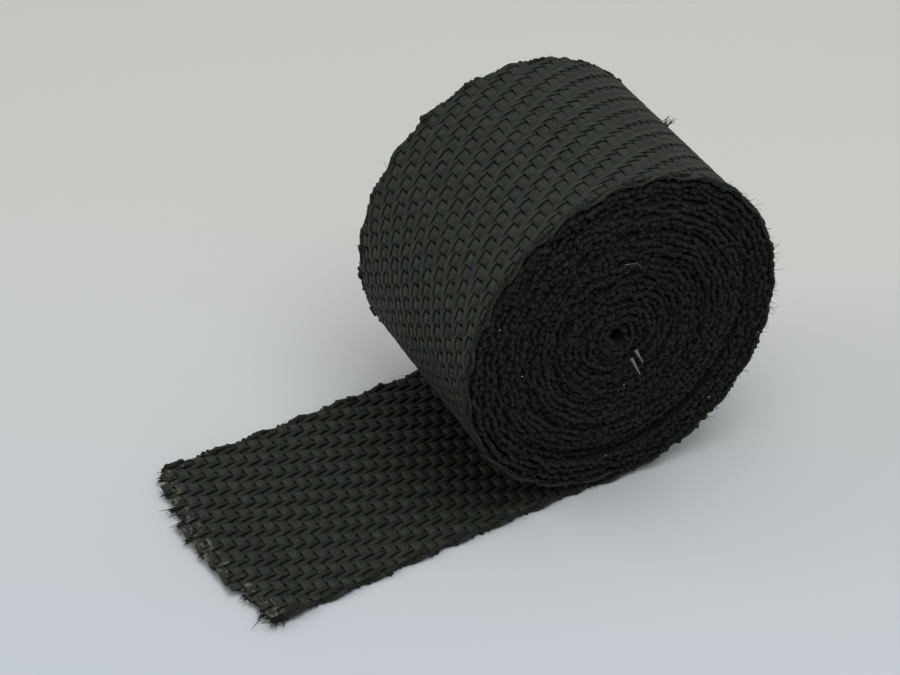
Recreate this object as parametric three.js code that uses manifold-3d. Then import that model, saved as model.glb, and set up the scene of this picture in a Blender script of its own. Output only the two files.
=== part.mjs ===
// A roll of woven exhaust heat wrap that lies on its side, with its loose end run out along the floor.
// Millimetres, +Z up. The roll's axis runs along Y and the loose end runs out towards -X.
// The origin is on the floor, under the middle of the part's box.

import * as THREE from 'three';
import { mergeVertices } from 'three/addons/utils/BufferGeometryUtils.js';
import Module from 'manifold-3d';

// The tape as it is woven.
const TAPE_WIDTH = 50;
const TAPE_THICKNESS = 1.25;

// The roll, wound by hand, so that it stands a little taller than it is broad.
const ROLL_BREADTH = 73.7;
const ROLL_HEIGHT = 79.4;
const BORE_DIAMETER = 4.5;
const LAYERS_IN_A_RING = 2;
const RING_GROOVE_DEPTH = 0.6;
const ROLL_FACETS = 36;

// The loose end, measured along its own middle from the line where the roll meets the floor.
const TAIL_LENGTH = 85.4;
const TAIL_TURN = THREE.MathUtils.degToRad(6);
const CUT_SKEW = 3.4;
const CUT_BOW = 3;
const CUT_POINTS = 9;

const roundRadius = ROLL_BREADTH / 2;
const facetAngle = (2 * Math.PI) / ROLL_FACETS;
const flatHalfLength = roundRadius * Math.tan(facetAngle / 2);
// The loose end is the lowest layer, and the roll above it sits half way down into it.
const seatHeight = TAPE_THICKNESS / 2;

// Closed corner list of the roll's section: the near end, the outside, the far end and the bore.
// Each end is a row of ridges, and every ridge is the edge of a few wound layers.
function rollSection() {
  const boreRadius = BORE_DIAMETER / 2;
  const halfWidth = TAPE_WIDTH / 2;
  const woundDepth = roundRadius - boreRadius;
  const ringCount = Math.max(1, Math.round(woundDepth / (TAPE_THICKNESS * LAYERS_IN_A_RING)));
  const ringPitch = woundDepth / ringCount;
  const nearEnd = [];
  for (let ring = 0; ring < ringCount; ring += 1) {
    const inner = boreRadius + ring * ringPitch;
    nearEnd.push(new THREE.Vector2(inner, RING_GROOVE_DEPTH - halfWidth));
    nearEnd.push(new THREE.Vector2(inner + ringPitch / 2, -halfWidth));
  }
  nearEnd.push(new THREE.Vector2(roundRadius, RING_GROOVE_DEPTH - halfWidth));
  const farEnd = nearEnd.map((corner) => new THREE.Vector2(corner.x, -corner.y)).reverse();
  return [...nearEnd, ...farEnd, nearEnd[0].clone()];
}

// The roll lies with one flat facet down, on the start of the loose end.
function rollGeometry() {
  const seatedHeight = ROLL_HEIGHT - seatHeight;
  const cornerReach = 1 / Math.cos(facetAngle / 2);
  const geometry = new THREE.LatheGeometry(rollSection(), ROLL_FACETS, facetAngle / 2);
  geometry.scale(cornerReach, 1, cornerReach * (seatedHeight / ROLL_BREADTH));
  geometry.translate(0, 0, seatHeight + seatedHeight / 2);
  return geometry;
}

// The loose end, seen from above: it starts under the roll's flat and turns a little to the near side.
function tailGeometry() {
  const halfWidth = TAPE_WIDTH / 2;
  const start = flatHalfLength / 2;
  const turned = (along, across) => new THREE.Vector2(
    along * Math.cos(TAIL_TURN) - across * Math.sin(TAIL_TURN),
    along * Math.sin(TAIL_TURN) + across * Math.cos(TAIL_TURN),
  );
  const outline = new THREE.Shape();
  outline.moveTo(start, -halfWidth);
  outline.lineTo(start, halfWidth);
  outline.lineTo(0, halfWidth);
  for (let point = 0; point < CUT_POINTS; point += 1) {
    const share = point / (CUT_POINTS - 1);
    const skew = CUT_SKEW * (share - 0.5);
    const bow = CUT_BOW * Math.sin(Math.PI * share);
    const corner = turned(-TAIL_LENGTH - skew - bow, halfWidth * (1 - 2 * share));
    outline.lineTo(corner.x, corner.y);
  }
  outline.lineTo(0, -halfWidth);
  outline.closePath();
  return new THREE.ExtrudeGeometry(outline, { depth: TAPE_THICKNESS, bevelEnabled: false });
}

const wasm = await Module();
wasm.setup();

function toSolid(geometry) {
  const bare = geometry.clone();
  bare.deleteAttribute('normal');
  bare.deleteAttribute('uv');
  const merged = mergeVertices(bare);
  return new wasm.Manifold(new wasm.Mesh({
    numProp: 3,
    vertProperties: new Float32Array(merged.attributes.position.array),
    triVerts: new Uint32Array(merged.index.array),
  }));
}

function toGeometry(solid) {
  const mesh = solid.getMesh();
  const geometry = new THREE.BufferGeometry();
  geometry.setAttribute('position', new THREE.BufferAttribute(new Float32Array(mesh.vertProperties), 3));
  geometry.setIndex(new THREE.BufferAttribute(new Uint32Array(mesh.triVerts), 1));
  geometry.computeVertexNormals();
  return geometry;
}

// The tape is one length of cloth, so the roll and its loose end are one solid.
const tapeGeometry = toGeometry(toSolid(rollGeometry()).add(toSolid(tailGeometry())));
tapeGeometry.computeBoundingBox();
const middle = tapeGeometry.boundingBox.getCenter(new THREE.Vector3());
tapeGeometry.translate(-middle.x, -middle.y, 0);

const blackGlassCloth = new THREE.MeshStandardMaterial({
  color: 0x23261f,
  roughness: 0.85,
  metalness: 0,
});

const heatWrapTape = new THREE.Mesh(tapeGeometry, blackGlassCloth);
heatWrapTape.name = 'heat_wrap_tape';

const heatWrap = new THREE.Group();
heatWrap.add(heatWrapTape);

export default heatWrap;
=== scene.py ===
# A roll of black woven exhaust wrap on its side, with its loose end run out on a pale floor.
import math

import bpy
import numpy as np
from mathutils import Matrix, Vector


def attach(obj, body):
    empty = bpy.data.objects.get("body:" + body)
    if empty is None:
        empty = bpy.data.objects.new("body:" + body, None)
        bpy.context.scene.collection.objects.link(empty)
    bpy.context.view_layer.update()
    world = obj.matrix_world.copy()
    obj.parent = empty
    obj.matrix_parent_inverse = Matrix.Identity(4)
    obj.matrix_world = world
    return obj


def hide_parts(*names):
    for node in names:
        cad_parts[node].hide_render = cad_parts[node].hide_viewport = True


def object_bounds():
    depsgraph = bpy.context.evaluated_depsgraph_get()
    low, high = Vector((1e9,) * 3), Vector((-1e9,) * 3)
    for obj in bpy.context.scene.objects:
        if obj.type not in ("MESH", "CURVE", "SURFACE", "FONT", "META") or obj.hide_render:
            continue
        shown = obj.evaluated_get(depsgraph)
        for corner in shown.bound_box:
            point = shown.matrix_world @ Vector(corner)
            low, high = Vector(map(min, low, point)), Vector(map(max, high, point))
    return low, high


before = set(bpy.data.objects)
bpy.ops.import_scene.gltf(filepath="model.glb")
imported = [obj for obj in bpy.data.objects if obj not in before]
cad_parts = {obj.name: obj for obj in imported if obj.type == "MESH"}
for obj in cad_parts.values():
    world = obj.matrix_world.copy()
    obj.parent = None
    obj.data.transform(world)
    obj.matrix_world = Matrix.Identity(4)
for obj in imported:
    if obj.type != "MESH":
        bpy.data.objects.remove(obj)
cad_low, cad_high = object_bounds()
MM = 0.001


# The tape's route
# The tape is one strip of cloth. It runs flat along the floor from its cut end, then winds up the
# right side of the roll, over the top and round again, turn inside turn, down to a small bore.
TAPE_WIDTH = 50 * MM
TAPE_THICKNESS = 1.25 * MM
# The loose end runs back from the floor line. It turns and spreads to the near side, and lifts at its cut.
TAIL_REACH = 90 * MM
TAIL_TURN = math.radians(6)
TURN_SPREAD = 12 * MM
NEAR_EDGE_SPREAD = 0.035
NEAR_EDGE_SPREAD_RUN = 48 * MM
TAIL_HEIGHT = 0.7 * MM
CUT_LIFT = 0.9 * MM
CUT_LIFT_SPREAD = 22 * MM
# The roll narrows towards its far end, stands taller than it is broad, and its bore is off its middle.
FULL_TURN = 2 * math.pi
TURNS = 28
ROLL_BREADTH = 73.7 * MM
OUTER_RADIUS = 36.53 * MM
BORE_RADIUS = 2.3 * MM
FAR_END_TAPER = 0.02
FIRST_TURN_STEP = 1.6 * MM
HUB_CENTRE = (-1.6 * MM, 41.6 * MM)
RIM_CENTRE = (0, 41.4 * MM)
RIM_BREADTH_SHARE = 0.98
RIM_HEIGHT_SHARE = 1.02
# It sags onto the floor, the outer turns most.
FOOT_SAG = 2.5 * MM
FOOT_SPREAD = math.radians(130)
FOOT_TURNS = 3
# The near edge of the outer turns flares outwards over the top, and has slipped towards the far side.
NEAR_RIM_FLARE = 1.0 * MM
NEAR_RIM_SLIP = 1.3 * MM
NEAR_RIM_DEPTH = 5 * MM
NEAR_RIM_OVERHANG = 1.3
NEAR_RIM_ANGLE = math.radians(190)
NEAR_RIM_TURNS = 3
# How far the wound turns have slid sideways: (radius, its spread, angle, slide towards the far side).
SLIDES = (
    (31.0 * MM, 1.7 * MM, math.radians(40), 1.7 * MM),
    (25.5 * MM, 2.4 * MM, math.radians(85), -0.8 * MM),
    (15.0 * MM, 1.6 * MM, math.radians(225), 1.0 * MM),
    (20.5 * MM, 1.8 * MM, math.radians(300), -0.5 * MM),
    (9.0 * MM, 1.5 * MM, math.radians(60), 0.5 * MM),
)
# The turns wander from side to side: (waves in a radian, start).
WANDER = 0.22 * MM
WANDER_WAVES = ((0.37, 1), (0.83, 2), (1.21, 0))


def ease(value):
    """Smooth step from 0 to 1."""
    value = np.clip(value, 0, 1)
    return value * value * (3 - 2 * value)


def raised(angle):
    """1 at an angle of 0, falling to 0 half a turn away."""
    return 0.5 + 0.5 * np.cos(angle)


def roll_point(wind, across):
    """The middle of the tape's thickness, at an angle wound on from the floor line."""
    turn = wind / FULL_TURN
    inner_turns = np.maximum(turn - 1, 0)
    far_share = across / TAPE_WIDTH + 0.5
    rim = OUTER_RADIUS * (1 - FAR_END_TAPER * far_share)
    inner_step = (rim - BORE_RADIUS) / (TURNS - 1)
    radius = np.where(turn < 1, rim + FIRST_TURN_STEP * (1 - turn), rim - inner_step * (turn - 1))
    rim_share = np.clip((radius - BORE_RADIUS) / (rim - BORE_RADIUS), 0, 1)

    from_foot = np.abs((wind + math.pi) % FULL_TURN - math.pi)
    foot = np.where(from_foot < FOOT_SPREAD, raised(from_foot / FOOT_SPREAD * math.pi), 0)
    sag = FOOT_SAG + OUTER_RADIUS * FAR_END_TAPER * far_share
    radius = radius + sag * foot * np.exp(-inner_turns / FOOT_TURNS)
    at_flare = raised(wind - NEAR_RIM_ANGLE) ** 2 * np.exp(-inner_turns / NEAR_RIM_TURNS)
    into_rim = (NEAR_RIM_DEPTH - TAPE_WIDTH / 2 - across) / NEAR_RIM_DEPTH
    into_rim = np.clip(into_rim, 0, NEAR_RIM_OVERHANG)
    radius = radius + NEAR_RIM_FLARE * at_flare * into_rim ** 2 - TAPE_THICKNESS / 2

    slide = WANDER * sum(np.sin(wind * waves + start) for waves, start in WANDER_WAVES)
    for at_radius, spread, at_angle, amount in SLIDES:
        near_radius = np.exp(-((radius - at_radius) / spread) ** 2)
        slide = slide + amount * near_radius * raised(wind - at_angle) ** 2
    slide = slide * np.clip(inner_turns, 0, 1) + NEAR_RIM_SLIP * at_flare * (1 - far_share)

    breadth = 1 + (RIM_BREADTH_SHARE - 1) * rim_share
    height = 1 + (RIM_HEIGHT_SHARE - 1) * rim_share
    centre_x = HUB_CENTRE[0] + (RIM_CENTRE[0] - HUB_CENTRE[0]) * rim_share
    centre_z = HUB_CENTRE[1] + (RIM_CENTRE[1] - HUB_CENTRE[1]) * rim_share
    return np.stack([
        centre_x + breadth * radius * np.sin(wind),
        across + slide,
        centre_z - height * radius * np.cos(wind),
    ], axis=-1)


# The solid roll gives the place of the axis. The tape leaves the floor at FLOOR_LINE.
ROLL_AXIS_OFFSET = 0.65 * MM
FLOOR_LINE = np.array([
    cad_high[0] - ROLL_BREADTH / 2 - ROLL_AXIS_OFFSET,
    cad_high[1] - TAPE_WIDTH / 2,
    0,
])

# The route is kept as rows of points across the tape, closest where it shows most.
OUTER_TURN_STEP = math.radians(3)
INNER_TURN_STEP = math.radians(7.5)
TAIL_STEP = 1.5 * MM
ROWS_PAST_CUT = 6 * MM
LEAST_STEP = 0.1 * MM

wind_angles = np.concatenate([
    np.arange(0, FULL_TURN, OUTER_TURN_STEP),
    np.arange(FULL_TURN, FULL_TURN * TURNS, INNER_TURN_STEP),
])
middle_line = roll_point(wind_angles, np.zeros_like(wind_angles))
wound_steps = np.linalg.norm(np.diff(middle_line[:, [0, 2]], axis=0), axis=1)
wound_lengths = np.concatenate([[0], np.cumsum(wound_steps)])
TAPE_LENGTH = TAIL_REACH + wound_lengths[-1]
FIRST_TURN_END = TAIL_REACH + wound_lengths[np.searchsorted(wind_angles, FULL_TURN)]


def tail_point(along, across):
    """The loose end, flat on the floor and turned a little to the near side."""
    back = TAIL_REACH - along
    bent = back - TURN_SPREAD / 2
    lean = TAIL_TURN * ease(back / TURN_SPREAD)
    turned = np.maximum(bent, 0) * math.tan(TAIL_TURN)
    height = TAIL_HEIGHT + CUT_LIFT * ease((CUT_LIFT_SPREAD - along) / CUT_LIFT_SPREAD)
    spread = 1 + NEAR_EDGE_SPREAD * (1 - ease(along / NEAR_EDGE_SPREAD_RUN))
    across = across * np.where(across < 0, spread, 1)
    return np.stack([
        -back * np.cos(lean) - across * np.sin(lean),
        -turned + across * np.cos(lean),
        height,
    ], axis=-1)


guide_across = np.array([-28, -25, -23, -21, -17, -9, 0, 9, 17, 23, 25, 28]) * MM
tail_rows = np.arange(-ROWS_PAST_CUT, TAIL_REACH - LEAST_STEP, TAIL_STEP)
guide_along = np.concatenate([tail_rows, TAIL_REACH + wound_lengths])
guide_low = np.array([guide_along[0], guide_across[0]])
guide_size = np.array([guide_along[-1], guide_across[-1]]) - guide_low

guide_rows = []
for row_along in tail_rows:
    guide_rows.append(tail_point(np.full_like(guide_across, row_along), guide_across))
for row_wind in wind_angles:
    guide_rows.append(roll_point(np.full_like(guide_across, row_wind), guide_across))
guide_points = np.array(guide_rows) + FLOOR_LINE
run_along = np.gradient(guide_points, axis=0)
run_across = np.gradient(guide_points, axis=1)
guide_inward = np.cross(run_along, run_across)
guide_inward /= np.linalg.norm(guide_inward, axis=-1, keepdims=True)


def strip_faces(rows, columns, closed=False):
    """Four-sided faces between neighbouring rows of points."""
    faces = []
    for row in range(rows - 1):
        for column in range(columns if closed else columns - 1):
            beside = (column + 1) % columns
            faces.append((
                row * columns + column,
                row * columns + beside,
                (row + 1) * columns + beside,
                (row + 1) * columns + column,
            ))
    return faces


def new_object(name, points, edges=(), faces=()):
    """Puts a mesh into the scene."""
    mesh = bpy.data.meshes.new(name)
    mesh.from_pydata([tuple(point) for point in points], list(edges), list(faces))
    made = bpy.data.objects.new(name, mesh)
    bpy.context.scene.collection.objects.link(made)
    return made


guide = new_object(
    "tape_guide",
    guide_points.reshape(-1, 3),
    faces=strip_faces(len(guide_along), len(guide_across)),
)
inward_layer = guide.data.attributes.new("inward", "FLOAT_VECTOR", "POINT")
inward_layer.data.foreach_set("vector", guide_inward.reshape(-1).astype(np.float32))
guide_places = np.stack(np.meshgrid(guide_along, guide_across, indexing="ij"), axis=-1)
guide_shares = np.zeros(guide_points.shape)
guide_shares[..., :2] = (guide_places - guide_low) / guide_size
share_layer = guide.data.attributes.new("cloth_share", "FLOAT_VECTOR", "POINT")
share_layer.data.foreach_set("vector", guide_shares.reshape(-1).astype(np.float32))


# The weave
# Flat glass yarns, woven two over and two under. The warp runs the tape's length, and the weft crosses
# it. Each yarn is laid out straight, repeated, given its body and bent along the tape's route.
WARP_ENDS = 42
PICK_PITCH = 2.62 * MM
WARP_PITCH = 1.21 * MM
REPEAT_ALONG = 4 * PICK_PITCH
REPEAT_ACROSS = 4 * WARP_PITCH
FIRST_PICK = 1.6 * MM
FIRST_END = -WARP_PITCH * (WARP_ENDS - 1) / 2
# The yarns cross half way between the crests of their over and under.
WEAVE_PHASE = 1 / 8 - FIRST_PICK / REPEAT_ALONG - FIRST_END / REPEAT_ACROSS
# The cut: its reach from the floor line, how far it bows, and where across it reaches farthest.
CUT_REACH = 89.1 * MM
CUT_BOW = 3.6 * MM
CUT_MIDDLE = -3 * MM
CUT_RAGGEDNESS = 0.7 * MM
# Pressed yarns: 1 keeps a section round, and a smaller power makes it squarer.
SECTION_POWER = 0.55
# No two yarns wander alike, and each wanders slowly.
STRAND_APART = 7.31
WANDER_RUN = 4 * MM
# The edges scallop only this far in.
SCALLOP_DEPTH = 3 * MM


def place_node(tree, kind, inputs=None, **settings):
    """Adds one node, with its settings, and sets or links its inputs by name or number."""
    node = tree.nodes.new(kind)
    for name, value in settings.items():
        setattr(node, name, value)
    for name, value in (inputs or {}).items():
        socket = node.inputs[name]
        if isinstance(value, bpy.types.NodeSocket):
            tree.links.new(value, socket)
        else:
            socket.default_value = value
    return node


def figure(tree, operation, *operands):
    """One step of arithmetic in a tree."""
    node = place_node(tree, "ShaderNodeMath", dict(enumerate(operands)), operation=operation)
    return node.outputs[0]


def vector_figure(tree, operation, *operands):
    """One step of arithmetic on vectors in a tree."""
    node = place_node(tree, "ShaderNodeVectorMath", dict(enumerate(operands)), operation=operation)
    return node.outputs[0]


def scaled(tree, vector, scale):
    """A vector made longer or shorter."""
    node = place_node(tree, "ShaderNodeVectorMath", {0: vector, "Scale": scale}, operation="SCALE")
    return node.outputs[0]


def split_up(tree, vector):
    """A vector's parts, by name."""
    return place_node(tree, "ShaderNodeSeparateXYZ", {0: vector}).outputs


def squared_off(tree, value):
    """Pushes a point of a round section out towards the corners of its square."""
    size = figure(tree, "ABSOLUTE", figure(tree, "MULTIPLY", value, 2.0))
    size = figure(tree, "POWER", size, SECTION_POWER)
    size = figure(tree, "MULTIPLY", size, 0.5)
    return figure(tree, "MULTIPLY", size, figure(tree, "SIGN", value))


def named_field(tree, name, kind="FLOAT_VECTOR"):
    """Reads a value that is kept on every point."""
    return place_node(tree, "GeometryNodeInputNamedAttribute", {"Name": name}, data_type=kind).outputs[0]


def keep_field(tree, geometry, name, value, kind="FLOAT_VECTOR", domain="POINT"):
    """Keeps a value on every point, or on every copy."""
    return place_node(
        tree,
        "GeometryNodeStoreNamedAttribute",
        {"Geometry": geometry, "Name": name, "Value": value},
        data_type=kind,
        domain=domain,
    ).outputs[0]


def random_number(tree, seed):
    """A number from 0 to 1 that looks random, the same each time."""
    noise = place_node(tree, "ShaderNodeTexWhiteNoise", {"W": seed}, noise_dimensions="1D")
    return noise.outputs["Value"]


def inside_cut(tree, flat_place):
    """How far a place on the flat tape lies inside the scissors' cut."""
    place = split_up(tree, flat_place)
    bow = figure(tree, "DIVIDE", figure(tree, "SUBTRACT", place["Y"], CUT_MIDDLE), TAPE_WIDTH / 2)
    bow = figure(tree, "MULTIPLY", bow, bow)
    cut = figure(tree, "MULTIPLY_ADD", bow, -CUT_BOW, CUT_REACH - TAIL_REACH)
    return figure(tree, "ADD", cut, place["X"])


def finish_tree(tree, geometry, given, result):
    """Every tree ends in plain faces with one material."""
    joined = place_node(tree, "GeometryNodeRealizeInstances", {"Geometry": geometry}).outputs[0]
    dressed = place_node(
        tree, "GeometryNodeSetMaterial", {"Geometry": joined, "Material": given["Material"]}
    ).outputs[0]
    tree.links.new(dressed, result.inputs[0])


def new_tree(name, inputs):
    """A tree with its geometry sockets and its named inputs."""
    tree = bpy.data.node_groups.new(name, "GeometryNodeTree")
    tree.interface.new_socket("Geometry", in_out="INPUT", socket_type="NodeSocketGeometry")
    for socket_name, socket_type, first_value in inputs:
        socket = tree.interface.new_socket(socket_name, in_out="INPUT", socket_type=socket_type)
        if first_value is not None:
            socket.default_value = first_value
    tree.interface.new_socket("Geometry", in_out="OUTPUT", socket_type="NodeSocketGeometry")
    return tree


YARN_INPUTS = (
    ("Guide", "NodeSocketObject", None),
    ("Material", "NodeSocketMaterial", None),
    ("Copies", "NodeSocketInt", 1),
    ("Step", "NodeSocketVector", (0, 0, 0)),
    ("Sides", "NodeSocketInt", 6),
    ("Width", "NodeSocketFloat", MM),
    ("Thickness", "NodeSocketFloat", MM),
    ("Wave", "NodeSocketFloat", 0),
    ("Fullness", "NodeSocketFloat", 0.5),
    ("Slant", "NodeSocketFloat", 0),
    ("Scallop", "NodeSocketFloat", 0),
    ("Unevenness", "NodeSocketFloat", 0),
    ("Seed", "NodeSocketFloat", 0),
)



def copied_yarns(tree, given, position):
    """Repeats the one flat yarn, and keeps on it which copy it is and where its middle runs."""
    line = place_node(tree, "GeometryNodeMeshToCurve", {"Mesh": given["Geometry"]}).outputs[0]
    stations = place_node(
        tree, "GeometryNodeMeshLine", {"Count": given["Copies"], "Offset": given["Step"]}
    ).outputs[0]
    copies = place_node(
        tree, "GeometryNodeInstanceOnPoints", {"Points": stations, "Instance": line}
    ).outputs[0]
    number = tree.nodes.new("GeometryNodeInputIndex").outputs[0]
    copies = keep_field(tree, copies, "strand", number, "FLOAT", "INSTANCE")
    laid = place_node(tree, "GeometryNodeRealizeInstances", {"Geometry": copies}).outputs[0]
    laid = keep_field(tree, laid, "centre", position)
    return place_node(tree, "GeometryNodeSetCurveNormal", {"Curve": laid}, mode="Z_UP").outputs[0]


def yarn_section(tree, given, position):
    """A flat, squarish section, as wide and thick as the yarn."""
    section = place_node(
        tree, "GeometryNodeCurvePrimitiveCircle", {"Resolution": given["Sides"], "Radius": 0.5}
    ).outputs[0]
    rounded = split_up(tree, position)
    squared = place_node(
        tree,
        "ShaderNodeCombineXYZ",
        {"X": squared_off(tree, rounded["X"]), "Y": squared_off(tree, rounded["Y"])},
    ).outputs[0]
    section = place_node(
        tree, "GeometryNodeSetPosition", {"Geometry": section, "Position": squared}
    ).outputs[0]
    size = place_node(
        tree, "ShaderNodeCombineXYZ", {"X": given["Width"], "Y": given["Thickness"], "Z": 1.0}
    ).outputs[0]
    return place_node(tree, "GeometryNodeTransform", {"Geometry": section, "Scale": size}).outputs[0]


def snipped(tree, yarns, centre, strand):
    """Leaves off what lies past the cut. Each yarn is snipped at its own length."""
    snip = random_number(tree, strand)
    snip = figure(tree, "MULTIPLY_ADD", snip, CUT_RAGGEDNESS, inside_cut(tree, centre))
    cut_off = figure(tree, "LESS_THAN", snip, CUT_RAGGEDNESS / 2)
    return place_node(
        tree, "GeometryNodeDeleteGeometry", {"Geometry": yarns, "Selection": cut_off}, domain="POINT"
    ).outputs[0]


def over_and_under(tree, given, along_cycles, across_cycles):
    """How far a yarn is lifted by the yarns that it crosses, and pushed aside by them."""
    cycles = figure(tree, "ADD", along_cycles, across_cycles)
    cycles = figure(tree, "ADD", cycles, WEAVE_PHASE)
    angle = figure(tree, "MULTIPLY", cycles, FULL_TURN)
    crest = figure(tree, "COSINE", angle)
    squared = figure(tree, "MULTIPLY", crest, crest)
    shoulder = figure(tree, "MULTIPLY", squared, figure(tree, "MULTIPLY", given["Fullness"], -1.0))
    shoulder = figure(tree, "ADD", shoulder, figure(tree, "ADD", given["Fullness"], 1.0))
    crest = figure(tree, "MULTIPLY", crest, shoulder)
    lift = figure(tree, "MULTIPLY", crest, given["Wave"])
    drift = figure(tree, "MULTIPLY", figure(tree, "SINE", angle), given["Slant"])
    return lift, drift


def unevenness(tree, given, centre, strand):
    """A small slow wander of each yarn, all three ways."""
    apart = figure(tree, "MULTIPLY_ADD", strand, STRAND_APART, given["Seed"])
    shift = place_node(tree, "ShaderNodeCombineXYZ", {"Z": apart}).outputs[0]
    place = vector_figure(tree, "ADD", scaled(tree, centre, 1 / WANDER_RUN), shift)
    noise = place_node(tree, "ShaderNodeTexNoise", {"Vector": place, "Scale": 1.0, "Detail": 1.0})
    noise = vector_figure(tree, "SUBTRACT", noise.outputs["Color"], (0.5, 0.5, 0.5))
    return split_up(tree, scaled(tree, noise, given["Unevenness"]))


def edge_scallop(tree, given, flat_across, along_cycles):
    """The weft draws the tape's edges in and lets them out, once in each repeat."""
    edge_share = place_node(
        tree,
        "ShaderNodeMapRange",
        {
            "Value": figure(tree, "ABSOLUTE", flat_across),
            "From Min": TAPE_WIDTH / 2 - SCALLOP_DEPTH,
            "From Max": TAPE_WIDTH / 2,
        },
    ).outputs[0]
    swing = figure(tree, "COSINE", figure(tree, "MULTIPLY", along_cycles, FULL_TURN))
    swing = figure(tree, "MULTIPLY", swing, given["Scallop"])
    swing = figure(tree, "MULTIPLY", swing, edge_share)
    return figure(tree, "MULTIPLY", swing, figure(tree, "SIGN", flat_across))


def place_on_route(tree, given, position, cloth_place, height):
    """Carries a place on the flat tape over to the tape's route."""
    share = vector_figure(tree, "SUBTRACT", cloth_place, (guide_low[0], guide_low[1], 0))
    share = vector_figure(tree, "DIVIDE", share, (guide_size[0], guide_size[1], 1))
    surface = place_node(tree, "GeometryNodeObjectInfo", {"Object": given["Guide"]}).outputs["Geometry"]
    cloth_share = named_field(tree, "cloth_share")
    sampled = []
    for value in (position, named_field(tree, "inward")):
        sampled.append(place_node(
            tree,
            "GeometryNodeSampleUVSurface",
            {"Mesh": surface, "Value": value, "UV Map": cloth_share, "Sample UV": share},
            data_type="FLOAT_VECTOR",
        ).outputs[0])
    on_route, inward = sampled
    return vector_figure(tree, "ADD", on_route, scaled(tree, inward, height))


def fill_yarn_tree(tree):
    """Repeats the flat yarn, gives it its body, and bends it along the route with its over and under."""
    given = tree.nodes.new("NodeGroupInput").outputs
    result = tree.nodes.new("NodeGroupOutput")
    position = tree.nodes.new("GeometryNodeInputPosition").outputs[0]
    centre = named_field(tree, "centre")
    strand = named_field(tree, "strand", "FLOAT")
    yarns = copied_yarns(tree, given, position)
    yarns = snipped(tree, yarns, centre, strand)
    body = place_node(
        tree,
        "GeometryNodeCurveToMesh",
        {"Curve": yarns, "Profile Curve": yarn_section(tree, given, position), "Fill Caps": True},
    ).outputs[0]

    middle = split_up(tree, centre)
    along_cycles = figure(tree, "DIVIDE", middle["X"], REPEAT_ALONG)
    across_cycles = figure(tree, "DIVIDE", middle["Y"], REPEAT_ACROSS)
    lift, drift = over_and_under(tree, given, along_cycles, across_cycles)
    uneven = unevenness(tree, given, centre, strand)
    flat = split_up(tree, position)
    scallop = edge_scallop(tree, given, flat["Y"], along_cycles)
    along = figure(tree, "ADD", flat["X"], uneven["X"])
    across = figure(tree, "ADD", figure(tree, "ADD", flat["Y"], drift), scallop)
    across = figure(tree, "ADD", across, uneven["Y"])
    height = figure(tree, "ADD", figure(tree, "ADD", flat["Z"], lift), uneven["Z"])
    cloth_place = place_node(
        tree, "ShaderNodeCombineXYZ", {"X": along, "Y": across, "Z": height}
    ).outputs[0]

    route_place = place_on_route(tree, given, position, cloth_place, height)
    body = keep_field(tree, body, "cloth", cloth_place)
    bent = place_node(
        tree, "GeometryNodeSetPosition", {"Geometry": body, "Position": route_place}
    ).outputs[0]
    smooth = place_node(tree, "GeometryNodeSetShadeSmooth", {"Geometry": bent}).outputs[0]
    finish_tree(tree, smooth, given, result)


yarn_tree = new_tree("yarns_on_the_tape", YARN_INPUTS)
fill_yarn_tree(yarn_tree)


def bend_to_mesh(piece, tree, chosen):
    """Runs a piece through a tree with the chosen inputs, and keeps the result as its plain mesh."""
    modifier = piece.modifiers.new(tree.name, "NODES")
    modifier.node_group = tree
    for item in tree.interface.items_tree:
        if item.in_out == "INPUT" and item.name in chosen:
            modifier[item.identifier] = chosen[item.name]
    bpy.context.view_layer.update()
    graph = bpy.context.evaluated_depsgraph_get()
    mesh = bpy.data.meshes.new_from_object(
        piece.evaluated_get(graph), preserve_all_data_layers=True, depsgraph=graph
    )
    mesh.name = piece.name
    first_mesh = piece.data
    piece.modifiers.clear()
    piece.data = mesh
    bpy.data.meshes.remove(first_mesh)


def lay_yarns(name, flat_points, material, **sizes):
    """One plain mesh of like yarns: the flat yarn, run through the tree above."""
    links = [(number, number + 1) for number in range(len(flat_points) - 1)]
    yarns = new_object(name, flat_points, edges=links)
    bend_to_mesh(yarns, yarn_tree, {"Guide": guide, "Material": material, **sizes})
    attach(yarns, "root")
    return yarns


# The yarns' finish
# Glass yarn, dyed black. It is dull, in places a little olive, green or blue, and its fibres show as
# fine lines along each yarn. Just inside the cut the dye has rubbed off the top of some yarns.
DYE_OLIVE = (0.026, 0.0265, 0.0165, 1)
DYE_GREEN = (0.020, 0.0275, 0.0185, 1)
DYE_BLUE = (0.021, 0.0245, 0.0225, 1)
BARE_GLASS = (0.17, 0.16, 0.12, 1)
DYE_PATCH = 3.2 * MM
GREEN_FROM = 0.4
GREEN_TO = 0.6
BLUE_FROM = 0.45
BLUE_TO = 0.7
DARKEST_STRAND = 0.8
PALEST_STRAND = 1.2
FIBRE_CONTRAST = 3.0
FIBRE_RELIEF = 0.22 * MM
FIBRE_RELIEF_STRENGTH = 0.7
YARN_GLOSS = 0.25
ALONG_FIBRE = 1 / (1.6 * MM)
ACROSS_FIBRE = 1 / (0.24 * MM)
ALONG_THE_WARP = (ALONG_FIBRE, ACROSS_FIBRE, ACROSS_FIBRE)
ALONG_THE_WEFT = (ACROSS_FIBRE, ALONG_FIBRE, ACROSS_FIBRE)
CUT_ACROSS = (ACROSS_FIBRE, ACROSS_FIBRE, ACROSS_FIBRE)
BARE_NO_FARTHER = 4.2 * MM
BARE_WITHIN = 2.8 * MM
BARE_ABOVE = 0.12 * MM
BAREST_ABOVE = 0.32 * MM
BARE_SPOT = 1.1 * MM
BARE_SPOT_FROM = 0.52
BARE_SPOT_TO = 0.7
BAREST_SHARE = 0.85


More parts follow.
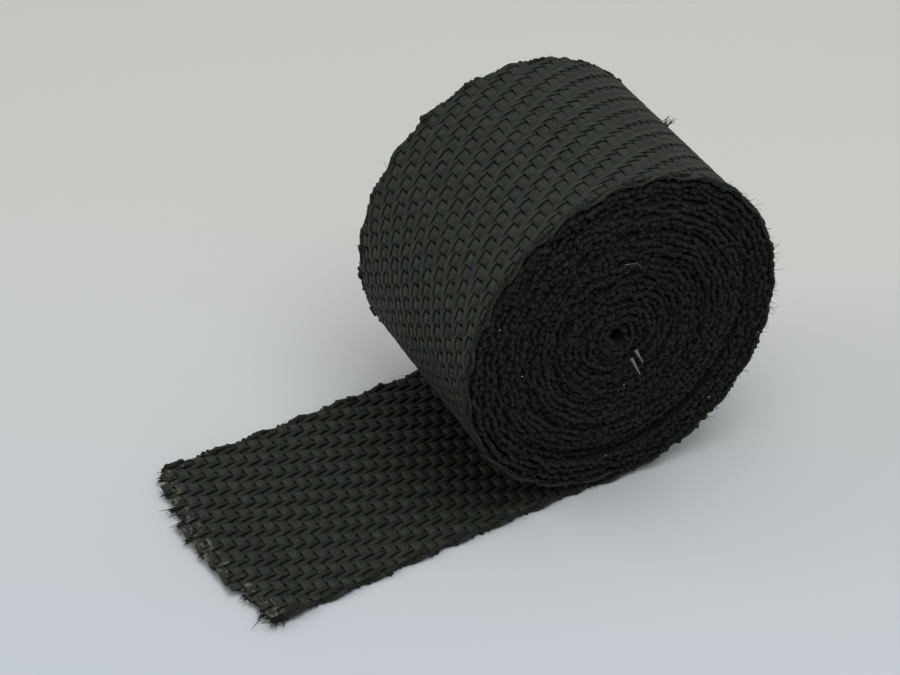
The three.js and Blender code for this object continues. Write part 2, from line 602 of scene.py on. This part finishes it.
def colour_mix(tree, share, first, second):
    """Mixes two colours."""
    node = tree.nodes.new("ShaderNodeMix")
    node.data_type = "RGBA"
    for socket, value in ((node.inputs[0], share), (node.inputs[6], first), (node.inputs[7], second)):
        if isinstance(value, bpy.types.NodeSocket):
            tree.links.new(value, socket)
        else:
            socket.default_value = value
    return node.outputs[2]


def stretched(tree, value, low, high, top=1.0, bottom=0.0):
    """Makes what lies between low and high run from bottom to top."""
    return place_node(
        tree,
        "ShaderNodeMapRange",
        {"Value": value, "From Min": low, "From Max": high, "To Min": bottom, "To Max": top},
    ).outputs[0]


def blotches(tree, place, size, detail):
    """Soft noise with blotches of about the given size."""
    return place_node(
        tree, "ShaderNodeTexNoise", {"Vector": place, "Scale": 1 / size, "Detail": detail}
    ).outputs["Fac"]


def fill_fibre_group(group):
    """Fine lines along a yarn, and slow changes of the dye, from the cloth's own coordinates."""
    for name, kind, value in (
        ("Cloth", "NodeSocketVector", (0, 0, 0)),
        ("Fibre Scale", "NodeSocketVector", (1, 1, 1)),
        ("Strand", "NodeSocketFloat", 0),
        ("Fibre Contrast", "NodeSocketFloat", 0.5),
        ("Tone", "NodeSocketFloat", 1.0),
    ):
        group.interface.new_socket(name, in_out="INPUT", socket_type=kind).default_value = value
    for name, kind in (("Color", "NodeSocketColor"), ("Height", "NodeSocketFloat")):
        group.interface.new_socket(name, in_out="OUTPUT", socket_type=kind)
    given = group.nodes.new("NodeGroupInput").outputs
    result = group.nodes.new("NodeGroupOutput")
    fibre_place = vector_figure(group, "MULTIPLY", given["Cloth"], given["Fibre Scale"])
    fibres = place_node(
        group, "ShaderNodeTexNoise", {"Vector": fibre_place, "Scale": 1.0, "Detail": 3.0, "Roughness": 0.6}
    ).outputs["Fac"]
    patch_place = scaled(group, given["Cloth"], 1 / DYE_PATCH)
    patches = place_node(group, "ShaderNodeTexNoise", {"Vector": patch_place, "Scale": 1.0, "Detail": 2.0})
    patch = place_node(group, "ShaderNodeSeparateColor", {0: patches.outputs["Color"]}).outputs
    dye = colour_mix(group, stretched(group, patch[0], GREEN_FROM, GREEN_TO), DYE_OLIVE, DYE_GREEN)
    dye = colour_mix(group, stretched(group, patch[1], BLUE_FROM, BLUE_TO), dye, DYE_BLUE)
    strand_tone = random_number(group, given["Strand"])
    strand_tone = stretched(group, strand_tone, 0.0, 1.0, PALEST_STRAND, DARKEST_STRAND)
    fibre_tone = figure(group, "SUBTRACT", fibres, 0.5)
    fibre_tone = figure(group, "MULTIPLY_ADD", fibre_tone, given["Fibre Contrast"], 1.0)
    tone = figure(group, "MULTIPLY", figure(group, "MULTIPLY", strand_tone, fibre_tone), given["Tone"])
    group.links.new(scaled(group, dye, tone), result.inputs["Color"])
    group.links.new(fibres, result.inputs["Height"])


fibre_group = bpy.data.node_groups.new("fibre_lines", "ShaderNodeTree")
fill_fibre_group(fibre_group)


def bare_patches(tree, cloth):
    """Where the dye has rubbed off the yarns, just inside the tape's cut end."""
    near_cut = stretched(tree, inside_cut(tree, cloth), BARE_NO_FARTHER, BARE_WITHIN)
    on_top = stretched(tree, split_up(tree, cloth)["Z"], BARE_ABOVE, BAREST_ABOVE)
    spots = blotches(tree, cloth, BARE_SPOT, 2.0)
    spots = stretched(tree, spots, BARE_SPOT_FROM, BARE_SPOT_TO, BAREST_SHARE)
    return figure(tree, "MULTIPLY", figure(tree, "MULTIPLY", near_cut, on_top), spots)


def new_material(name, roughness):
    """A dull material, with its tree and its shader."""
    material = bpy.data.materials.new(name)
    material.use_nodes = True
    shader = material.node_tree.nodes["Principled BSDF"]
    shader.inputs["Roughness"].default_value = roughness
    return material, material.node_tree, shader


def yarn_material(name, fibre_scale, roughness, tone=1.0, rubbed=False):
    """Dyed glass yarn whose fibres run the way that fibre_scale is small."""
    material, tree, shader = new_material(name, roughness)
    cloth = place_node(tree, "ShaderNodeAttribute", attribute_name="cloth").outputs["Vector"]
    strand = place_node(tree, "ShaderNodeAttribute", attribute_name="strand").outputs["Fac"]
    lines = place_node(tree, "ShaderNodeGroup", node_tree=fibre_group)
    tree.links.new(cloth, lines.inputs["Cloth"])
    tree.links.new(strand, lines.inputs["Strand"])
    lines.inputs["Fibre Scale"].default_value = fibre_scale
    lines.inputs["Fibre Contrast"].default_value = FIBRE_CONTRAST
    lines.inputs["Tone"].default_value = tone
    bump = place_node(tree, "ShaderNodeBump", {
        "Height": lines.outputs["Height"],
        "Strength": FIBRE_RELIEF_STRENGTH,
        "Distance": FIBRE_RELIEF,
    })
    colour = lines.outputs["Color"]
    if rubbed:
        colour = colour_mix(tree, bare_patches(tree, cloth), colour, BARE_GLASS)
    tree.links.new(colour, shader.inputs["Base Color"])
    tree.links.new(bump.outputs[0], shader.inputs["Normal"])
    shader.inputs["Specular IOR Level"].default_value = YARN_GLOSS
    return material


def mottled_material(name, first, second, blotch, detail, roughness):
    """Yarn that shows no fibre lines, only soft blotches of two colours."""
    material, tree, shader = new_material(name, roughness)
    place = place_node(tree, "ShaderNodeTexCoord").outputs["Object"]
    colour = colour_mix(tree, blotches(tree, place, blotch, detail), first, second)
    tree.links.new(colour, shader.inputs["Base Color"])
    return material


# The loose end and the outermost turn
# The part of the tape whose faces show: every warp and weft yarn is there, laid over and under. The
# loose end is slack, and round the roll the tape is taut. On the loose end the warp is painted darker and
# the weft paler: painted shade and painted light, for the low light that falls across its weave.
WARP_WIDTH = 1.24 * MM
WARP_THICKNESS = 0.5 * MM
WARP_WAVE = 0.36 * MM
WARP_FULLNESS = 0.15
WARP_SLANT = 0.34 * MM
WARP_SIDES = 6
STEPS_A_PICK = 4
SLACK_WEFT_WIDTH = 2.36 * MM
TAUT_WEFT_WIDTH = 2.5 * MM
WEFT_THICKNESS = 0.5 * MM
WEFT_WAVE = -0.38 * MM
WEFT_FULLNESS = 0.5
WEFT_REACH = 24.7 * MM
WEFT_SIDES = 8
STEPS_AN_END = 3
SLACK_PULL = 1.0
TAUT_PULL = 0.98
EDGE_SCALLOP = 0.15 * MM
TAIL_PICKS = 35
YARN_UNEVENNESS = 0.3 * MM


def straight_yarn(start, end, steps, across_tape):
    """Points of one straight flat yarn."""
    values = np.linspace(start, end, steps + 1)
    zeros = np.zeros_like(values)
    columns = [zeros, values, zeros] if across_tape else [values, zeros, zeros]
    return np.stack(columns, axis=-1)


def weave_part(name, start, picks, pull, weft_width, warp_finish, weft_finish):
    """The warp and the weft of one stretch of tape, from a place along it."""
    end = start + picks * PICK_PITCH
    warp_line = straight_yarn(start, end, picks * STEPS_A_PICK, False)
    warp_line[:, 1] = FIRST_END
    warp = lay_yarns(
        name + "_warp",
        warp_line,
        warp_finish,
        Copies=WARP_ENDS,
        Step=(0, WARP_PITCH, 0),
        Sides=WARP_SIDES,
        Width=WARP_WIDTH,
        Thickness=WARP_THICKNESS,
        Wave=WARP_WAVE * pull,
        Fullness=WARP_FULLNESS,
        Slant=WARP_SLANT,
        Scallop=EDGE_SCALLOP,
        Unevenness=YARN_UNEVENNESS,
        Seed=3.0,
    )
    weft_line = straight_yarn(-WEFT_REACH, WEFT_REACH, WARP_ENDS * STEPS_AN_END, True)
    weft_line[:, 0] = start + PICK_PITCH / 2
    weft = lay_yarns(
        name + "_weft",
        weft_line,
        weft_finish,
        Copies=picks,
        Step=(PICK_PITCH, 0, 0),
        Sides=WEFT_SIDES,
        Width=weft_width,
        Thickness=WEFT_THICKNESS,
        Wave=WEFT_WAVE * pull,
        Fullness=WEFT_FULLNESS,
        Slant=0.0,
        Scallop=EDGE_SCALLOP,
        Unevenness=YARN_UNEVENNESS,
        Seed=11.0,
    )
    return [warp, weft]


tail_start = FIRST_PICK - PICK_PITCH / 2
roll_start = tail_start + TAIL_PICKS * PICK_PITCH
roll_picks = round((FIRST_TURN_END - roll_start) / PICK_PITCH) + 1
warp_yarn = yarn_material("warp_yarn", ALONG_THE_WARP, 0.6)
weft_yarn = yarn_material("weft_yarn", ALONG_THE_WEFT, 0.6)
# The loose end's warp is painted darker and its weft paler than round the roll: painted shade and painted
# light, for the low light across its weave. Its rubbed patches are wear.
worn_loose_end_warp_painted_shade = yarn_material("loose_end_warp_yarn", ALONG_THE_WARP, 0.65, tone=0.8, rubbed=True)
worn_loose_end_weft_painted_light = yarn_material("loose_end_weft_yarn", ALONG_THE_WEFT, 0.6, tone=1.12, rubbed=True)
woven_pieces = [
    *weave_part(
        "tail", tail_start, TAIL_PICKS, SLACK_PULL, SLACK_WEFT_WIDTH, worn_loose_end_warp_painted_shade, worn_loose_end_weft_painted_light
    ),
    *weave_part(
        "outer_turn", roll_start, roll_picks, TAUT_PULL, TAUT_WEFT_WIDTH, warp_yarn, weft_yarn
    ),
]


# The inner turns
# The rest of the same tape, wound tight from one ribbon. Only its two edges show, on the roll's ends,
# where the weft turns back round the last warp yarn in small loops, two to each pick.
TURN_THICKNESS = 1.0 * MM
TURN_EDGE_BACK = 0.7 * MM
TURN_START = FULL_TURN - math.radians(9)
# The ribbon's colours are painted shade: far darker than the dyed yarn, for the shade between the edge
# loops.
WOUND_EDGE_SHADE_DARK = (0.0045, 0.005, 0.0045, 1)
WOUND_EDGE_SHADE_PALE = (0.009, 0.010, 0.009, 1)
WOUND_EDGE_BLOTCH = 0.8 * MM
LOOP_PITCH = PICK_PITCH / 2
LOOP_SHARE = 0.68
LOOP_REACH = 0.9 * MM
LOOP_THICKNESS = 0.95 * MM
LOOP_WAVE = 0.25 * MM
LOOP_UNEVENNESS = 2.3 * MM
LOOP_POINTS = 5
LOOP_SIDES = 5
UNLOOPED_END = 1 * MM


def wound_ribbon():
    """A flat strip that follows the route inside the outermost turn, closed at both ends."""
    winds = wind_angles[wind_angles >= TURN_START]
    edge = TAPE_WIDTH / 2 - TURN_EDGE_BACK
    near = roll_point(winds, np.full_like(winds, -edge))
    far = roll_point(winds, np.full_like(winds, edge))
    outward = np.stack([np.sin(winds), np.zeros_like(winds), -np.cos(winds)], axis=-1)
    half = outward * TURN_THICKNESS / 2
    corners = np.stack([near + half, far + half, far - half, near - half], axis=1) + FLOOR_LINE
    faces = strip_faces(len(winds), 4, closed=True)
    last = (len(winds) - 1) * 4
    faces.append((3, 2, 1, 0))
    faces.append((last, last + 1, last + 2, last + 3))
    return new_object("inner_turns", corners.reshape(-1, 3), faces=faces)


inner_turns = wound_ribbon()
inner_turns.data.materials.append(mottled_material(
    "wound_edge", WOUND_EDGE_SHADE_DARK, WOUND_EDGE_SHADE_PALE, WOUND_EDGE_BLOTCH, 3.0, 0.85
))
# The edge loops are painted darker than the yarn round the roll: painted shade, for the shade on the roll's
# ends.
loop_yarn = yarn_material("loop_yarn", CUT_ACROSS, 0.75, tone=0.62)
for side_name, side in (("near", -1), ("far", 1)):
    bend = np.linspace(0, math.pi, LOOP_POINTS)
    loop_along = LOOP_PITCH / 2 * (1 - np.cos(bend)) * LOOP_SHARE
    loop_across = side * (TAPE_WIDTH / 2 - LOOP_REACH + LOOP_REACH * np.sin(bend))
    loop_line = np.stack([loop_along, loop_across, np.zeros_like(bend)], axis=-1)
    lay_yarns(
        side_name + "_edge_loops",
        loop_line,
        loop_yarn,
        Copies=int((TAPE_LENGTH - UNLOOPED_END) / LOOP_PITCH),
        Step=(LOOP_PITCH, 0, 0),
        Sides=LOOP_SIDES,
        Width=LOOP_THICKNESS,
        Thickness=LOOP_THICKNESS,
        Wave=LOOP_WAVE,
        Fullness=0.5,
        Slant=0.0,
        Scallop=EDGE_SCALLOP,
        Unevenness=LOOP_UNEVENNESS,
        Seed=20.0 + side,
    )
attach(inner_turns, "root")
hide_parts("heat_wrap_tape")

bpy.data.objects.remove(guide)


# The fuzz and the edge hairs
# Broken glass fibres that stand out of the roll's ends and of the tape's edges. The far side has few.
# One pulled tuft stands out of the roll's back.
FIBRE_INPUTS = (
    ("Material", "NodeSocketMaterial", None),
    ("Curl", "NodeSocketFloat", 0.25),
    ("Seed", "NodeSocketFloat", 0),
)
FIBRE_STEPS = 4
FIBRE_SIDES = 3
FIBRE_TAPER = 0.75
FIBRE_APART = 3.17


def fill_fibre_tree(tree):
    """Stands one tapered, curled fibre on each root, along the root's own lean."""
    given = tree.nodes.new("NodeGroupInput").outputs
    result = tree.nodes.new("NodeGroupOutput")
    number = tree.nodes.new("GeometryNodeInputIndex").outputs[0]
    numbered = keep_field(tree, given["Geometry"], "strand", number, "FLOAT")
    lean = named_field(tree, "lean")
    line = place_node(tree, "GeometryNodeCurvePrimitiveLine", {"Start": (0, 0, 0), "End": (0, 0, 1)})
    line = place_node(
        tree, "GeometryNodeResampleCurve", {"Curve": line.outputs[0], "Count": FIBRE_STEPS}
    ).outputs[0]
    upright = place_node(tree, "FunctionNodeAlignRotationToVector", {"Vector": lean}, axis="Z").outputs[0]
    reach = vector_figure(tree, "LENGTH", lean).node.outputs["Value"]
    stood = place_node(
        tree,
        "GeometryNodeInstanceOnPoints",
        {"Points": numbered, "Instance": line, "Rotation": upright, "Scale": reach},
    ).outputs[0]
    laid = place_node(tree, "GeometryNodeRealizeInstances", {"Geometry": stood}).outputs[0]

    along = tree.nodes.new("GeometryNodeSplineParameter").outputs["Factor"]
    along = place_node(tree, "ShaderNodeClamp", {"Value": along}).outputs[0]
    strand = named_field(tree, "strand", "FLOAT")
    place = figure(tree, "MULTIPLY_ADD", strand, FIBRE_APART, figure(tree, "ADD", given["Seed"], along))
    swing = place_node(tree, "ShaderNodeTexNoise", {"W": place, "Scale": 1.0}, noise_dimensions="1D")
    swing = vector_figure(tree, "SUBTRACT", swing.outputs["Color"], (0.5, 0.5, 0.5))
    bend = figure(tree, "MULTIPLY", figure(tree, "MULTIPLY", along, along), given["Curl"])
    swing = scaled(tree, swing, figure(tree, "MULTIPLY", bend, reach))
    curled = place_node(tree, "GeometryNodeSetPosition", {"Geometry": laid, "Offset": swing}).outputs[0]

    section = place_node(
        tree, "GeometryNodeCurvePrimitiveCircle", {"Resolution": FIBRE_SIDES, "Radius": 0.5}
    ).outputs[0]
    taper = figure(tree, "MULTIPLY_ADD", along, -FIBRE_TAPER, 1.0)
    thickness = figure(tree, "MULTIPLY", named_field(tree, "thickness", "FLOAT"), taper)
    body = place_node(
        tree,
        "GeometryNodeCurveToMesh",
        {"Curve": curled, "Profile Curve": section, "Scale": thickness, "Fill Caps": True},
    ).outputs[0]
    body = keep_field(tree, body, "cloth", tree.nodes.new("GeometryNodeInputPosition").outputs[0])
    finish_tree(tree, body, given, result)


fibre_tree = new_tree("loose_fibres", FIBRE_INPUTS)
fill_fibre_tree(fibre_tree)


def stand_fibres(name, roots, leans, thicknesses, material, **sizes):
    """One plain mesh of fibres. A lean holds a fibre's length as well as its direction."""
    fibres = new_object(name, roots)
    lean_layer = fibres.data.attributes.new("lean", "FLOAT_VECTOR", "POINT")
    lean_layer.data.foreach_set("vector", np.asarray(leans, np.float32).reshape(-1))
    thickness_layer = fibres.data.attributes.new("thickness", "FLOAT", "POINT")
    thickness_layer.data.foreach_set("value", np.asarray(thicknesses, np.float32))
    bend_to_mesh(fibres, fibre_tree, {"Material": material, **sizes})
    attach(fibres, "root")


def outward_at(wind):
    """Straight out of the roll, at an angle wound on from the floor line."""
    return np.stack([np.sin(wind), np.zeros_like(wind), -np.cos(wind)], axis=-1)


def onward_at(wind):
    """The way that the tape is wound, at the same angle."""
    return np.stack([np.cos(wind), np.zeros_like(wind), np.sin(wind)], axis=-1)


# The fibres on each side: (side, fuzz on the roll's end, hairs on its rim, hairs on the loose end).
FIBRE_COUNTS = (
    (-1, 2600, 520, 330),
    (1, 1200, 25, 25),
)
END_FUZZ_LENGTH = 1.2 * MM
END_FUZZ_LEAN = 0.7
RIM_HAIR_LENGTH = 1.7 * MM
RIM_HAIR_LEAN = 0.6
TAIL_HAIR_LENGTH = 1.5 * MM
TAIL_HAIR_LEAN = 0.9
# Most hairs are short and a few are long.
HAIR_LENGTH_POWER = 1.5
FUZZ_ROOT = TAPE_WIDTH / 2 - 0.2 * MM
RIM_ROOT = TAPE_WIDTH / 2 - 0.3 * MM
FINE_FIBRE = 0.16 * MM
draw = np.random.default_rng(5)


def end_fuzz(side, count):
    """Roots and leans of the fuzz on one end of the roll, thickest near the rim."""
    turns = 1 + (TURNS - 1) * (1 - np.sqrt(draw.random(count)))
    winds = turns * FULL_TURN
    root = roll_point(winds, np.full_like(winds, side * FUZZ_ROOT))
    aside = draw.normal(0, END_FUZZ_LEAN, (count, 2))
    lean = aside[:, :1] * outward_at(winds) + aside[:, 1:] * onward_at(winds)
    lean[:, 1] = side * draw.uniform(0.3, 1.0, count)
    return root, lean * END_FUZZ_LENGTH * draw.uniform(0.5, 1.4, (count, 1))


def hair_lengths(longest, count):
    """A length for each hair."""
    return longest * draw.uniform(0.3, 1.2, (count, 1)) ** HAIR_LENGTH_POWER


def rim_hairs(side, count):
    """Roots and leans of the hairs along one edge of the outermost turn."""
    winds = draw.uniform(0.1, 0.98, count) * FULL_TURN
    root = roll_point(winds, np.full_like(winds, side * RIM_ROOT))
    lean = draw.uniform(0.2, 1.1, (count, 1)) * outward_at(winds)
    lean += draw.normal(0, RIM_HAIR_LEAN, (count, 1)) * onward_at(winds)
    lean[:, 1] = side * draw.uniform(0.0, 0.9, count)
    return root, lean * hair_lengths(RIM_HAIR_LENGTH, count)


def tail_hairs(side, count):
    """Roots and leans of the hairs along one edge of the loose end."""
    alongs = draw.uniform(4 * MM, TAIL_REACH - 2 * MM, count)
    root = tail_point(alongs, np.full_like(alongs, side * FUZZ_ROOT))
    lean = np.stack([
        draw.normal(0, TAIL_HAIR_LEAN, count),
        side * draw.uniform(0.2, 1.0, count),
        draw.uniform(-0.1, 0.4, count),
    ], axis=-1)
    return root, lean * hair_lengths(TAIL_HAIR_LENGTH, count)


roots = []
leans = []
for side, end_count, rim_count, tail_count in FIBRE_COUNTS:
    for root, lean in (end_fuzz(side, end_count), rim_hairs(side, rim_count), tail_hairs(side, tail_count)):
        roots.append(root + FLOOR_LINE)
        leans.append(lean)
roots = np.concatenate(roots)
leans = np.concatenate(leans)
fuzz_yarn = yarn_material("fuzz", CUT_ACROSS, 0.7, tone=0.8)
stand_fibres("edge_fuzz", roots, leans, np.full(len(roots), FINE_FIBRE), fuzz_yarn, Curl=1.2, Seed=1.0)

SNAG_WIND = math.radians(134)
SNAG_ACROSS = 6 * MM
SNAG_WIDTH = 0.5 * MM
SNAG_SPREAD = 0.012
SNAG_LEAN = 0.25
SNAG_LENGTH = 2.4 * MM
SNAG_FIBRE = 0.28 * MM
SNAG_FIBRES = 12
winds = SNAG_WIND + draw.normal(0, SNAG_SPREAD, SNAG_FIBRES)
across = SNAG_ACROSS + draw.normal(0, SNAG_WIDTH, SNAG_FIBRES)
leans = SNAG_LENGTH * (outward_at(winds) + draw.normal(0, SNAG_LEAN, (SNAG_FIBRES, 3)))
roots = roll_point(winds, across) + FLOOR_LINE
thicknesses = np.full(SNAG_FIBRES, SNAG_FIBRE)
stand_fibres("snagged_tuft", roots, leans, thicknesses, fuzz_yarn, Curl=0.5, Seed=4.0)


# The frayed cut
# At the cut end some warp yarns have opened into small stiff tufts, one in each repeat of the weave,
# longest at the middle of the tape. The near corner, where the edge yarns came apart, is all frayed.
FIRST_TUFT = -5
TUFTS = 10
TUFT_PLACE = 0.55
LONG_TUFTS = (-1, 2)
SHORT_TUFT_SHARE = 0.55
TUFT_FIBRES = 14
TUFT_WIDTH = 0.45 * MM
TUFT_LENGTH = 2.7 * MM
TUFT_FIBRE = 0.36 * MM
CORNER_FIBRES = 70
CORNER_WIDTH = 1.7 * MM
CORNER_FIBRE = 0.8 * TUFT_FIBRE
PAST_THE_EDGE = 0.3 * MM


def fray(across, inside, rise):
    """Roots along the cut at places across the tape, a little inside it and at all heights."""
    cut = TAIL_REACH - CUT_REACH + CUT_BOW * ((across - CUT_MIDDLE) / (TAPE_WIDTH / 2)) ** 2
    root = tail_point(cut + draw.uniform(*inside, len(across)), across) + FLOOR_LINE
    root[:, 2] += draw.uniform(-rise, rise, len(across))
    return root


roots = []
leans = []
thicknesses = []
for tuft in range(FIRST_TUFT, FIRST_TUFT + TUFTS):
    middle = (tuft + TUFT_PLACE) * REPEAT_ACROSS
    strength = 1.0 if LONG_TUFTS[0] <= tuft <= LONG_TUFTS[1] else SHORT_TUFT_SHARE
    across = middle + draw.normal(0, TUFT_WIDTH, TUFT_FIBRES)
    roots.append(fray(across, (0.2 * MM, 1.0 * MM), 0.3 * MM))
    lean = np.stack([
        draw.uniform(-1.0, -0.6, TUFT_FIBRES),
        draw.normal(-0.1, 0.2, TUFT_FIBRES),
        draw.normal(-0.05, 0.12, TUFT_FIBRES),
    ], axis=-1)
    leans.append(lean * TUFT_LENGTH * strength * draw.uniform(0.6, 1.3, (TUFT_FIBRES, 1)))
    thicknesses.append(np.full(TUFT_FIBRES, TUFT_FIBRE))
across = np.abs(draw.normal(0, CORNER_WIDTH, CORNER_FIBRES)) - TAPE_WIDTH / 2 - PAST_THE_EDGE
roots.append(fray(across, (-0.2 * MM, 2.5 * MM), 0.4 * MM))
lean = np.stack([
    draw.uniform(-1.2, 0.2, CORNER_FIBRES),
    draw.uniform(-1.0, 0.1, CORNER_FIBRES),
    draw.normal(0.0, 0.2, CORNER_FIBRES),
], axis=-1)
leans.append(lean * TUFT_LENGTH * draw.uniform(0.5, 1.2, (CORNER_FIBRES, 1)))
thicknesses.append(np.full(CORNER_FIBRES, CORNER_FIBRE))
frayed_yarn = yarn_material("frayed_yarn", CUT_ACROSS, 0.7, tone=0.55)
roots = np.concatenate(roots)
leans = np.concatenate(leans)
stand_fibres("cut_tufts", roots, leans, np.concatenate(thicknesses), frayed_yarn, Curl=0.35, Seed=2.0)


# The undyed fibres and the painted glints
# Glass without dye: two yarn ends beside the bore, one long hair in two parts, and short specks on the
# roll's near end. They lie caught in the dyed yarns.
# The pale specks along the loose end's far edge are painted light: painted glints, where light shows
# through gaps in the edge.
UNDYED_GLASS_AND_GLINT = (0.36, 0.35, 0.31, 1)
UNDYED_BLOTCH = 0.7 * MM
NEAR_FACE = -TAPE_WIDTH / 2 - 1.0 * MM
INTO_NEAR_FACE = -0.1
GLINT_LEAN = np.array([0.5, 0.2, 0.1]) * MM
GLINT_LIFT = np.array([0, 0, 0.75]) * MM
GLINT_THICKNESS = 0.4 * MM
# Millimetres from the floor line: (x, height, run along x, rise, thickness).
UNDYED_ON_END = (
    (3.0, 37.2, 2.0, -3.9, 1.1),
    (2.2, 35.2, 2.6, -5.0, 1.1),
    (-2.8, 61.6, 2.9, -0.4, 0.16),
    (0.1, 61.2, 1.6, -2.2, 0.14),
    (-31.2, 53.8, 0.3, 0.2, 0.4),
    (-24.9, 39.7, 0.5, -0.2, 0.4),
    (1.0, 28.5, 0.2, 0.4, 0.45),
    (23.9, 17.3, 0.5, -0.3, 0.55),
    (34.4, 31.8, 0.2, 0.3, 0.4),
    (-1.3, 9.4, 0.4, 0.1, 0.35),
)
# Painted glints, in millimetres: (along the tape from its end, across it).
GLINTS_ON_EDGE = (
    (4.5, 23.6),
    (6.8, 22.8),
    (10.2, 23.2),
    (13.4, 24.3),
    (16.8, 24.4),
    (25.0, 24.4),
    (35.5, 24.4),
    (46.5, 24.4),
    (57.0, 24.4),
)

roots = []
leans = []
thicknesses = []
for x, height, run, rise, thickness in UNDYED_ON_END:
    roots.append(FLOOR_LINE + np.array([x * MM, NEAR_FACE, height * MM]))
    leans.append(np.array([run, INTO_NEAR_FACE, rise]) * MM)
    thicknesses.append(thickness * MM)
for along, across in GLINTS_ON_EDGE:
    root = tail_point(np.array([along * MM]), np.array([across * MM]))[0] + FLOOR_LINE
    roots.append(root + GLINT_LIFT)
    leans.append(GLINT_LEAN)
    thicknesses.append(GLINT_THICKNESS)
undyed_yarn_and_glints = mottled_material("undyed_glass", BARE_GLASS, UNDYED_GLASS_AND_GLINT, UNDYED_BLOTCH, 2.0, 0.5)
stand_fibres("undyed_fibres", roots, leans, thicknesses, undyed_yarn_and_glints, Curl=0.3, Seed=8.0)


# The floor
# A sheet of plain pale card, wide enough to fill the camera's view, and dull. Its colour is painted light:
# a little cooler towards the near side and a little warmer towards the far side, for the cool room light in
# front and the warm lamp behind.
FLOOR_HALF = 1.5
FLOOR_FRONT_COOL_LIGHT = (0.655, 0.690, 0.745, 1)
FLOOR_BACK_WARM_LIGHT = (0.690, 0.690, 0.640, 1)
FLOOR_FRONT_PLACE = -0.10
FLOOR_BACK_PLACE = 0.12
FLOOR_TURN = 0.6
FLOOR_GLOSS = 0.1
floor_corners = [(-1, -1), (1, -1), (1, 1), (-1, 1)]
floor = new_object(
    "floor",
    [(FLOOR_HALF * x, FLOOR_HALF * y, 0) for x, y in floor_corners],
    faces=[(0, 1, 2, 3)],
)
floor_material, floor_tree, floor_shader = new_material("pale_card", 0.9)
floor_place = split_up(floor_tree, place_node(floor_tree, "ShaderNodeTexCoord").outputs["Object"])
floor_depth = figure(floor_tree, "MULTIPLY_ADD", floor_place["X"], FLOOR_TURN, floor_place["Y"])
floor_share = stretched(floor_tree, floor_depth, FLOOR_FRONT_PLACE, FLOOR_BACK_PLACE)
floor_painted_light = colour_mix(floor_tree, floor_share, FLOOR_FRONT_COOL_LIGHT, FLOOR_BACK_WARM_LIGHT)
floor_tree.links.new(floor_painted_light, floor_shader.inputs["Base Color"])
floor_shader.inputs["Specular IOR Level"].default_value = FLOOR_GLOSS
floor.data.materials.append(floor_material)


# The light
# Soft studio light: a slightly warm lamp to the left and behind, a cooler one to the right, one
# overhead, and pale light from all round.
# Each lamp: (name, place, the point it faces, size, power, colour).
LAMPS = (
    ("window", (-0.9, 0.5, 0.62), (0, 0, 0.02), 0.7, 2.65, (1.0, 0.99, 0.88)),
    ("far_wall", (0.9, 0.15, 0.7), (0, 0, 0.02), 0.9, 1.7, (0.98, 0.99, 1.0)),
    ("overhead", (0.02, -0.12, 0.62), (0, 0, 0), 0.5, 1.75, (0.97, 0.99, 1.0)),
)
ROOM_COLOUR = (0.94, 0.97, 1.0, 1)
ROOM_STRENGTH = 0.38
for name, place, target, size, power, colour in LAMPS:
    lamp = bpy.data.lights.new(name, "AREA")
    lamp.shape = "DISK"
    lamp.size = size
    lamp.energy = power
    lamp.color = colour
    light = bpy.data.objects.new(name, lamp)
    light.location = place
    light.rotation_euler = (Vector(target) - Vector(place)).to_track_quat("-Z", "Y").to_euler()
    bpy.context.scene.collection.objects.link(light)
world = bpy.data.worlds.new("room_light")
world.use_nodes = True
background = world.node_tree.nodes["Background"]
background.inputs["Color"].default_value = ROOM_COLOUR
background.inputs["Strength"].default_value = ROOM_STRENGTH
bpy.context.scene.world = world
bpy.context.scene.view_settings.view_transform = "Standard"


# The camera
# It looks down from in front and from the left, from about half a metre away. Its angles and places
# are those that lay the roll's outline and the tape's edges over the photograph's.
CAMERA_TURN = math.radians(-31.301)
CAMERA_DOWN = math.radians(39.044)
CAMERA_ROLL = math.radians(4.807)
CAMERA_DISTANCE = 547.0 * MM
CAMERA_LOOK_HEIGHT = 35 * MM
CAMERA_ASIDE = -23.735 * MM
CAMERA_ALOFT = -9.851 * MM
FOCAL_PIXELS = 2542.034
IMAGE_WIDTH = 900
SENSOR_WIDTH = 36
NEAREST_SEEN = 10 * MM

camera_back = Vector((
    math.sin(CAMERA_TURN) * math.cos(CAMERA_DOWN),
    -math.cos(CAMERA_TURN) * math.cos(CAMERA_DOWN),
    math.sin(CAMERA_DOWN),
))
level_right = Vector((math.cos(CAMERA_TURN), math.sin(CAMERA_TURN), 0))
level_up = camera_back.cross(level_right)
camera_right = math.cos(CAMERA_ROLL) * level_right + math.sin(CAMERA_ROLL) * level_up
camera_up = math.cos(CAMERA_ROLL) * level_up - math.sin(CAMERA_ROLL) * level_right
camera_place = Vector(FLOOR_LINE) + Vector((0, 0, CAMERA_LOOK_HEIGHT)) + CAMERA_ASIDE * camera_right
camera_place += CAMERA_ALOFT * camera_up + CAMERA_DISTANCE * camera_back
camera_data = bpy.data.cameras.new("camera")
camera_data.sensor_width = SENSOR_WIDTH
camera_data.lens = FOCAL_PIXELS * SENSOR_WIDTH / IMAGE_WIDTH
camera_data.clip_start = NEAREST_SEEN
camera = bpy.data.objects.new("camera", camera_data)
camera.matrix_world = Matrix.Translation(camera_place) @ Matrix((
    camera_right, camera_up, camera_back
)).transposed().to_4x4()
bpy.context.scene.collection.objects.link(camera)
bpy.context.scene.camera = camera
